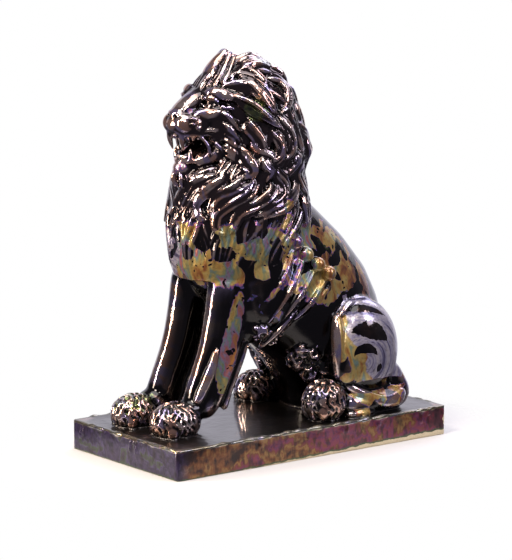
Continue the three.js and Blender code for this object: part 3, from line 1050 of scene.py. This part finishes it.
ready = thinned(fine, TRIANGLES)
without_crumbs(ready)
ready.transform(Matrix.Scale(0.001, 4))
ready.polygons.foreach_set("use_smooth", [True] * len(ready.polygons))
lion = bpy.data.objects.new("ceramic_lion", ready)
bpy.context.scene.collection.objects.link(lion)
depths = np.empty(len(ready.vertices), np.float32)
ready.attributes["hollow"].data.foreach_get("value", depths)
print("the lion has", len(ready.polygons), "triangles")
print("its hollows reach", depths.max(), "mm, its ridges", -depths.min(), "mm")

# %% [markdown]
# Places of the lustre
#
# The lustre film lies in broad patches: mustard on the chest and flank, lavender on the haunches,
# with a little copper green on the crown, the ears, the shoulder and the forepaws. The patches are
# partly the lustre's own colours and partly painted reflection: the pale lavender stands for
# mirrored soft boxes, and the black islands for the mirrored dark room. Each is an egg-shaped region
# that fades at its edge: its centre, its reach and its strength. Those that lie on both sides of the
# lion are listed once, for its left side.

# %% Place the lustre
PLACES = {
    # the lustre film, thick enough to show its own colours
    "film": [
        ((16, -58, 204), (76, 70, 36), 1.0),
        ((0, 70, 205), (40, 56, 70), 0.45),
        ((0, 150, 100), (60, 40, 70), 0.8),
        ((0, -104, 287), (12, 12, 8), 0.62),
        ((14, -94, 344), (8, 16, 7), 0.5),
        ((72, -10, 235), (14, 26, 34), 0.7),
    ],
    # where the film is lavender instead of mustard: partly the lustre's colour, partly a painted
    # reflection of pale soft boxes
    "cool": [
        ((0, 140, 130), (60, 45, 90), 0.9),
        ((-45, -80, 215), (40, 60, 75), 1.0),
        ((0, -104, 296), (20, 20, 24), 1.0),
    ],
    # copper green
    "green": [
        ((26, -6, 390), (12, 20, 8), 1.0),
        ((62, 8, 222), (10, 14, 10), 0.9),
        ((-30, -136, 50), (24, 28, 20), 0.85),
        ((32, -138, 48), (24, 28, 14), 0.62),
        ((4, -50, 398), (6, 10, 6), 0.8),
    ],
    # where the film is missing: black islands on the apron, the front of the thigh and below it,
    # partly a painted reflection of the dark room
    "bare": [
        ((10, -97, 205), (6, 10, 6), 1.0),
        ((26, -88, 219), (9, 11, 10), 1.0),
        ((39, -74, 205), (10, 12, 7), 1.0),
        ((60, -30, 197), (10, 7, 18), 1.0),
    ],
}
ON_BOTH_SIDES = {
    "film": [
        ((54, 46, 188), (30, 50, 52), 0.9),
        ((52, 78, 158), (30, 34, 26), 1.1),
        ((60, -25, 180), (22, 42, 50), 0.62),
        ((80, 88, 104), (40, 46, 54), 2.6),
    ],
    "cool": [
        # lavender on the haunch and its crest: partly a painted reflection and highlight of the soft boxes
        ((84, 84, 122), (40, 31, 26), 1.0),
        ((84, 104, 92), (40, 33, 34), 1.0),
        ((84, 66, 143), (40, 30, 13), 1.0),
    ],
    "green": [
        ((46, -42, 343), (10, 18, 14), 0.95),
        ((44, 52, 208), (16, 26, 14), 0.9),
    ],
    "bare": [
        # black on the front of the thigh and below the haunch: partly painted shade and reflection of the
        # dark room
        ((66, 37, 104), (12, 6, 34), 1.0),
        ((80, 88, 61), (16, 32, 7), 1.0),
    ],
}
# The film runs along the back of each foreleg and along the long hind foot
FILM_LINES = [
    ([[44, -64, 158], [46, -73, 122], [45, -84, 84]], (9, 8, 18), 0.95),
    ([[72, 50, 68], [78, 68, 54], [81, 90, 44], [80, 106, 42]], (10, 9, 6), 1.1),
    ([[80, 54, 36], [82, 74, 35]], (10, 10, 4), 1.0),
]


def place_map(place, places):
    made = np.zeros(len(place))
    for centre, reach, amount in places:
        away = np.linalg.norm((place - centre) / reach, axis=1)
        made = np.maximum(made, amount * np.clip(2.2 - 1.6 * away, 0, 1))
    return made


def along(line, reach, amount):
    """Places strung along a line, on both sides of the lion."""
    spots = run(line, np.linspace(0, 1, 4 * len(line)))
    return [(spot * [side, 1, 1], reach, amount) for spot in spots for side in (1, -1)]


spots = arrays(ready)[0] * 1000
for line in FILM_LINES:
    PLACES["film"] += along(*line)
for name, places in ON_BOTH_SIDES.items():
    PLACES[name] += [(np.multiply(spot, (side, 1, 1)), *rest) for spot, *rest in places for side in (1, -1)]
maps = {name: place_map(spots, places) for name, places in PLACES.items()}
maps["film"] -= 2.4 * maps.pop("bare")
for name, values in maps.items():
    add_map(ready, name, values)
    print(name, "covers", round(100 * float(np.mean(values > 0.5))), "% of the skin")

# %% [markdown]
# Colours and nodes
#
# Colours are written as a screen shows them, and made linear by one function. One small function
# adds a node with its settings, values and links.

# %% Prepare to mix a glaze
def linear(code):
    """An sRGB hex colour as linear red, green, blue and alpha."""
    parts = [int(code[k:k + 2], 16) / 255 for k in (1, 3, 5)]
    return (*[c / 12.92 if c <= 0.04045 else ((c + 0.055) / 1.055) ** 2.4 for c in parts], 1)


def add(tree, kind, values=(), **settings):
    """A new node: its settings, and its inputs as numbers, colours or other nodes' outputs."""
    made = tree.nodes.new("ShaderNode" + kind)
    for name, value in settings.items():
        setattr(made, name, value)
    for socket, value in dict(values).items():
        if isinstance(value, bpy.types.NodeSocket):
            tree.links.new(value, made.inputs[socket])
        else:
            made.inputs[socket].default_value = value
    return made

# %% [markdown]
# Lustre glaze
#
# The glaze is a thick black-brown glass with a film of metal fired onto it. On the ridges it looks
# like bronze and in the hollows it is black: partly glaze thin on the ridges and gathered in the
# hollows, partly painted light and shade. Where the film is heavy it breaks into oily patches of
# mustard, rose, violet and teal, with black islands between them. Their pale parts are partly
# painted reflection of bright soft boxes, and the black islands are partly painted reflection of
# the dark room. The glass gives it a hard, wet gloss, so a clear coat lies over everything, a
# weaker one on the slab's sides.

# %% Mix the glaze
FILM = {"grain": 22.0, "streak": 7.0, "warp": 30.0, "island": 26.0}  # millimetres
FOOT = {"most": 5.5, "wave": 9.0}  # millimetres: the bare clay strip's height, and its wobble
HAUNCH = (68, 85)  # the middle of the rings on the haunch, back and up, in millimetres
# Black crescents round that middle, painted reflections of the dark room: inner and outer radius,
# first and last angle
CRESCENTS = [(50, 57, 54, 112), (24, 43, 34, 112), (10, 20, 26, 150), (15, 22, -36, -6)]
CHIP = {"place": (89.0, 169.0, 15.5), "half": (4.0, 4.0, 7.0)}  # millimetres: at the far right corner

# the one finish of the whole piece: a dark lustre glaze on stoneware, with bare clay at the foot
glaze = bpy.data.materials.new("lustre_glazed_stoneware")
glaze.use_nodes = True
tree = glaze.node_tree
tree.nodes.clear()

place = add(tree, "TexCoord").outputs["Object"]
mm = add(tree, "VectorMath", {0: place, "Scale": 1000.0}, operation="SCALE").outputs[0]
x_mm, y_mm, z_mm = add(tree, "SeparateXYZ", {0: mm}).outputs
hollow, film, cool, green = [
    add(tree, "Attribute", attribute_name=name).outputs["Fac"]
    for name in ("hollow", "film", "cool", "green")
]


def noise(grain, vector=mm, detail=2.0, stretch=(1, 1, 1), shift=0.0, distortion=0.0):
    """Soft noise with a grain in millimetres."""
    spread = add(tree, "Mapping", {"Vector": vector, "Location": (shift, shift, shift), "Scale": stretch})
    values = {"Vector": spread.outputs[0], "Scale": 1.0 / grain, "Detail": detail, "Distortion": distortion}
    return add(tree, "TexNoise", values).outputs


def step(value, start, end, low=0.0, high=1.0):
    values = {"Value": value, "From Min": start, "From Max": end, "To Min": low, "To Max": high}
    return add(tree, "MapRange", values, interpolation_type="SMOOTHSTEP").outputs[0]


def mix(share, first, second):
    return add(tree, "Mix", {0: share, 6: first, 7: second}, data_type="RGBA").outputs[2]


def maths(operation, first, second=0.0, third=0.0):
    return add(tree, "Math", {0: first, 1: second, 2: third}, operation=operation).outputs[0]


def times(first, second):
    return maths("MULTIPLY", first, second)


def vector(operation, values, socket=0):
    return add(tree, "VectorMath", values, operation=operation).outputs[socket]


def ramp(value, stops):
    """Colours at places along a value from 0 to 1."""
    made = add(tree, "ValToRGB", {0: value})
    band = made.color_ramp
    for k, (spot, code) in enumerate(stops):
        stop = band.elements[k] if k < 2 else band.elements.new(spot)
        stop.position = spot
        stop.color = linear(code)
    return made.outputs[0]


# patches are drawn out downwards, the way the glaze ran
swirl = vector("SCALE", {0: noise(45.0, detail=3.0)["Color"], "Scale": FILM["warp"]})
flow = vector("ADD", {0: mm, 1: swirl})
broad = noise(FILM["grain"], flow, detail=5.0, stretch=(1, 1, 0.5))["Fac"]
streak = noise(FILM["streak"], flow, detail=4.0, stretch=(1, 1, 0.22), shift=60.0)["Fac"]
# lower down the film is warmer, and on the forelegs it turns to violet and rose
tone = maths("MULTIPLY_ADD", z_mm, 0.0005, -0.095)
tone = maths("MULTIPLY_ADD", times(step(z_mm, 168.0, 150.0), step(y_mm, -44.0, -54.0)), 0.14, tone)
tone = maths("MULTIPLY_ADD", times(step(y_mm, 0.0, 40.0), step(z_mm, 125.0, 150.0)), -0.08, tone)
warm_film = ramp(maths("ADD", tone, maths("ADD", times(broad, 0.55), times(streak, 0.45))), [
    (0.34, "#5A3226"),
    (0.40, "#8E5A30"),
    (0.44, "#A68446"),
    (0.49, "#B0985A"),
    (0.53, "#86865C"),
    (0.56, "#6A827C"),
    (0.59, "#80748E"),
    (0.62, "#9A5E66"),
    (0.67, "#A46C3A"),
])
# on the haunch the film has fine lines round the middle of its rings
from_middle = vector("SUBTRACT", {0: mm, 1: (0, *HAUNCH)})
ring = vector("LENGTH", {0: vector("MULTIPLY", {0: from_middle, 1: (0, 1, 1)})}, "Value")
ring_place = add(tree, "CombineXYZ", {0: ring, 1: times(y_mm, 0.12), 2: times(x_mm, 0.05)}).outputs[0]
finest = step(ring, 8.0, 24.0, 0.3, 1.3)  # the lines fade out towards the middle
lines = maths("SUBTRACT", noise(4.0, ring_place, detail=4.0)["Fac"], 0.5)
lines = maths("MULTIPLY_ADD", lines, finest, maths("MULTIPLY_ADD", streak, 0.3, 0.35))
cool_film = ramp(lines, [
    (0.34, "#4A4560"),
    (0.41, "#8A84A0"),
    (0.47, "#B2ACB4"),
    (0.50, "#746C88"),
    (0.53, "#A8A2AE"),
    (0.59, "#BAB2B4"),
    (0.65, "#80798E"),
])
back, up = add(tree, "SeparateXYZ", {0: from_middle}).outputs[1:]
turn = maths("ARCTAN2", up, back)


def crescent(inner, outer, first, last):
    """Above 0 inside a crescent round the middle of the rings, which is pointed at its ends."""
    first, last = math.radians(first), math.radians(last)
    across = maths("MULTIPLY_ADD", ring, 2 / (outer - inner), (outer + inner) / (inner - outer))
    lengthwise = maths("MULTIPLY_ADD", turn, 2 / (last - first), (last + first) / (first - last))
    tapered = maths("SUBTRACT", 1.0, times(lengthwise, lengthwise))
    return maths("SUBTRACT", tapered, maths("ABSOLUTE", across))


# black crescents on the haunch: a painted reflection of the dark room, with a ragged edge
dark_crescents = maths("MULTIPLY_ADD", noise(5.0, flow, detail=4.0, shift=340.0)["Fac"], 0.6, -0.3)
nearest = crescent(*CRESCENTS[0])
for marks in CRESCENTS[1:]:
    nearest = maths("MAXIMUM", nearest, crescent(*marks))
on_haunch = step(maths("ABSOLUTE", x_mm), 50.0, 56.0)
dark_crescents = times(on_haunch, step(maths("ADD", nearest, dark_crescents), 0.0, 0.08, 0.0, 4.0))
cool_share = step(maths("ADD", cool, times(noise(18.0, flow, shift=620.0)["Fac"], 0.8)), 0.85, 0.95)
film_colour = mix(cool_share, warm_film, cool_film)
grime = step(noise(2.6, flow, detail=4.0)["Fac"], 0.5, 0.72, 0.0, 0.45)
film_colour = mix(grime, film_colour, linear("#4E3D30"))

# where the film lies: its places, less the black islands in it (partly a painted reflection of the
# dark room), with a ragged edge
slab_side = step(maths("MULTIPLY_ADD", noise(12.0, shift=44.0)["Fac"], 5.0, z_mm), 31.0, 29.6)
island = step(noise(FILM["island"], flow, detail=1.5, shift=500.0)["Fac"], 0.56, 0.63, 0.0, 1.4)
specks = step(noise(8.0, flow, detail=1.5, shift=560.0)["Fac"], 0.64, 0.70, 0.0, 1.1)
ragged = times(noise(10.0, flow, detail=4.0, shift=700.0)["Fac"], 0.85)
black_islands = maths("MAXIMUM", dark_crescents, maths("MAXIMUM", island, specks))
depth = maths("SUBTRACT", maths("ADD", film, ragged), black_islands)
depth = maths("MAXIMUM", depth, times(slab_side, 1.6))
patch = step(depth, 0.98, 1.0)
thin = maths("MULTIPLY_ADD", depth, 7.0, -6.9)
fringe = ramp(thin, [(0.1, "#2E3A66"), (0.35, "#6A4C86"), (0.55, "#9A5678"), (0.75, "#A8833C")])
film_colour = mix(step(depth, 1.06, 1.11), fringe, film_colour)

# the slab's sides: runs of brown and gold, with more rose and violet towards the back
smear = times(noise(30.0, flow, detail=7.0, stretch=(1, 1, 1.5), shift=90.0)["Fac"], 0.8)
smear = maths("MULTIPLY_ADD", noise(4.0, detail=4.0, stretch=(1, 1, 0.4), shift=95.0)["Fac"], 0.2, smear)
side_film = ramp(maths("MULTIPLY_ADD", y_mm, 0.0005, smear), [
    (0.34, "#2E1A16"),
    (0.41, "#74482A"),
    (0.45, "#8A683C"),
    (0.49, "#6C3E2C"),
    (0.53, "#7A3648"),
    (0.57, "#603050"),
    (0.61, "#7A3640"),
    (0.67, "#54343A"),
])
front_film = ramp(smear, [
    (0.36, "#181324"),
    (0.44, "#3E3350"),
    (0.49, "#2A233A"),
    (0.54, "#4A3F60"),
    (0.58, "#3C4636"),
    (0.64, "#362A3C"),
])
slab_film = mix(step(y_mm, -150.0, -168.0), side_film, front_film)
slab_grime = step(noise(7.0, detail=7.0, stretch=(1, 1, 0.6), shift=99.0)["Fac"], 0.46, 0.66, 0.0, 0.7)
slab_film = mix(slab_grime, slab_film, linear("#241A1A"))
film_colour = mix(slab_side, film_colour, slab_film)

# the dark glaze: bronze on the ridges, black in the hollows; partly glaze thin on the ridges and
# gathered in the hollows, partly painted light and shade
ridge = step(hollow, -0.2, -0.8)
bronze = mix(step(noise(17.0, flow, shift=40.0)["Fac"], 0.4, 0.6), linear("#B8907E"), linear("#C0AEA8"))
bronze = mix(step(noise(14.0, flow, shift=260.0)["Fac"], 0.5, 0.62), bronze, linear("#9C8FAE"))
deep = mix(step(z_mm, 205.0, 250.0), linear("#110C0C"), linear("#3A2E2F"))
dark = mix(ridge, deep, bronze)
# the deepest hollows turn nearly black: painted shade
dark = mix(step(hollow, 0.4, 1.7), dark, linear("#050404"))
edge_x, edge_y = PLINTH["width"] / 2, PLINTH["length"] / 2
far_x = step(maths("ABSOLUTE", x_mm), edge_x - 6.5, edge_x - 4)
far_y = step(maths("ABSOLUTE", y_mm), edge_y - 6.5, edge_y - 4)
under_paws = step(z_mm, GROUND + 4, GROUND + 2)
rim = times(maths("MAXIMUM", far_x, far_y), times(step(z_mm, GROUND - 4, GROUND - 1.5), under_paws))
copper = maths("MAXIMUM", green, rim)
speckle = noise(6.0, flow, detail=3.0, shift=820.0)["Fac"]
green_share = step(maths("ADD", copper, speckle), 1.28, 1.44, 0.0, 0.62)
green_glass = mix(step(speckle, 0.42, 0.6), linear("#4A6240"), linear("#7C8650"))
colour = mix(patch, mix(green_share, dark, green_glass), film_colour)
# the slab's top is greyer: a painted reflection of the pale room
slab_top = times(under_paws, step(z_mm, GROUND - 1.5, GROUND - 0.5))
colour = mix(times(slab_top, 0.5), colour, linear("#4A4340"))

# the foot of the slab, where the glaze stops short of the table, and the chip at its corner
rise = step(y_mm, -150.0, 169.0, 0.0, FOOT["most"])
foot = maths("ADD", rise, maths("MULTIPLY_ADD", noise(FOOT["wave"], shift=33.0)["Fac"], 4.0, -2.2))
below = maths("SUBTRACT", foot, z_mm)
bare = maths("MAXIMUM", step(below, -0.15, 0.15), step(z_mm, 0.3, 0.1))
from_chip = vector("DIVIDE", {0: vector("SUBTRACT", {0: mm, 1: CHIP["place"]}), 1: CHIP["half"]})
chip = maths("ADD", vector("LENGTH", {0: from_chip}, "Value"), noise(3.0, shift=11.0)["Fac"])
bare = maths("MAXIMUM", bare, step(chip, 1.5, 1.4))
foot_edge = times(step(below, -2.6, -0.8), maths("SUBTRACT", 1.0, bare))
colour = mix(times(foot_edge, 0.8), colour, linear("#3E5638"))
clay = mix(noise(2.0, detail=4.0)["Fac"], linear("#DCD0AE"), linear("#B9A582"))
colour = mix(bare, colour, clay)
glazed = maths("SUBTRACT", 1.0, bare)

ripple = maths("MULTIPLY_ADD", noise(26.0, detail=1.0)["Fac"], 2.6, noise(7.0, distortion=0.6)["Fac"])
rough = maths("MULTIPLY_ADD", bare, 0.5, maths("MULTIPLY_ADD", slab_top, 0.24, 0.1))
rough = maths("MULTIPLY_ADD", patch, 0.18, rough)
shader = add(tree, "BsdfPrincipled", {
    "Base Color": colour,
    "Metallic": times(glazed, maths("MULTIPLY_ADD", patch, -0.42, 0.92)),
    "Roughness": rough,
    "Coat Weight": times(glazed, maths("MULTIPLY_ADD", slab_side, -0.35, 0.6)),
    "Coat Roughness": 0.03,
    "Normal": add(tree, "Bump", {"Height": ripple, "Strength": 0.4, "Distance": 0.001}).outputs[0],
})
add(tree, "OutputMaterial", {"Surface": shader.outputs[0]})
ready.materials.append(glaze)
print("the glaze has", len(tree.nodes), "nodes")

# %% [markdown]
# Stage and light
#
# A dark glossy thing shows little but what it mirrors. So the room is a plain pale one that the
# camera sees, the surroundings that the glaze mirrors are dimmer, and tall soft boxes give the
# long highlights down the legs and the sparkle in the hair.

# %% Set the stage
bpy.context.scene.view_settings.view_transform = "Standard"
world = bpy.data.worlds.new("studio")
bpy.context.scene.world = world
world.use_nodes = True
sky = world.node_tree
sky.nodes.clear()
seen = add(sky, "LightPath").outputs["Is Camera Ray"]
bright = add(sky, "Background", {"Color": (1, 1, 1, 1), "Strength": 1.0})
dim = add(sky, "Background", {"Color": linear("#DAD6F0"), "Strength": 0.17})
both_skies = add(sky, "MixShader", {0: seen, 1: dim.outputs[0], 2: bright.outputs[0]})
add(sky, "OutputWorld", {"Surface": both_skies.outputs[0]})

floor_form = bmesh.new()
bmesh.ops.create_grid(floor_form, x_segments=1, y_segments=1, size=2)
floor = as_object(floor_form, "studio_floor")
# matt paper to stand on
paper = bpy.data.materials.new("pale_matt_paper")
paper.use_nodes = True
page = paper.node_tree
sheet = page.nodes["Principled BSDF"]
sheet.inputs["Base Color"].default_value = linear("#C8C7C6")
sheet.inputs["Roughness"].default_value = 0.9
# the paper fades out round the lion, so that it meets the white room without an edge
spot = add(page, "TexCoord").outputs["Object"]
oval = add(page, "VectorMath", {0: spot, 1: (1.5, 1, 1)}, operation="MULTIPLY").outputs[0]
far = add(page, "VectorMath", {0: oval}, operation="LENGTH").outputs["Value"]
reach = {"Value": far, "From Min": 0.2, "From Max": 0.3}
fade = add(page, "MapRange", reach, interpolation_type="SMOOTHSTEP").outputs[0]
clear = add(page, "BsdfTransparent")
faded = add(page, "MixShader", {0: fade, 1: sheet.outputs[0], 2: clear.outputs[0]})
page.links.new(faded.outputs[0], page.nodes["Material Output"].inputs["Surface"])
floor.data.materials.append(paper)


def softbox(name, azimuth, elevation, distance, size, radiance, tint="#FFFFFF"):
    """A soft box that faces the lion, with the brightness that a mirror would show."""
    data = bpy.data.lights.new(name, "AREA")
    data.shape = "RECTANGLE"
    data.size, data.size_y = size
    data.energy = radiance * math.pi * size[0] * size[1]
    data.color = linear(tint)[:3]
    light = bpy.data.objects.new(name, data)
    light.visible_camera = False
    bpy.context.scene.collection.objects.link(light)
    look_at(light, AIM + toward(azimuth, elevation) * distance, AIM)


softbox("left_strip", -24, 16, 1.7, (0.21, 1.2), 42, "#FFEBD6")
softbox("key_box", 14, 50, 1.8, (0.45, 0.45), 40, "#FFF2E2")
softbox("front_box", 66, 44, 2.4, (0.3, 0.5), 30, "#FFF6EC")
softbox("right_box", 120, 34, 1.8, (0.5, 0.9), 11, "#F1EDFF")
softbox("top_box", 52, 84, 1.8, (1.2, 1.2), 5)
softbox("back_box", 205, 40, 2.0, (1.4, 1.0), 4, "#E9E6FF")
softbox("back_wall", 232, 12, 2.4, (5.0, 2.6), 0.75, "#F6F4FF")
print("lights are set")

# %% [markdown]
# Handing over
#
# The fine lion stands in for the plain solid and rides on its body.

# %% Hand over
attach(lion, "root")
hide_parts("lion_on_plinth")
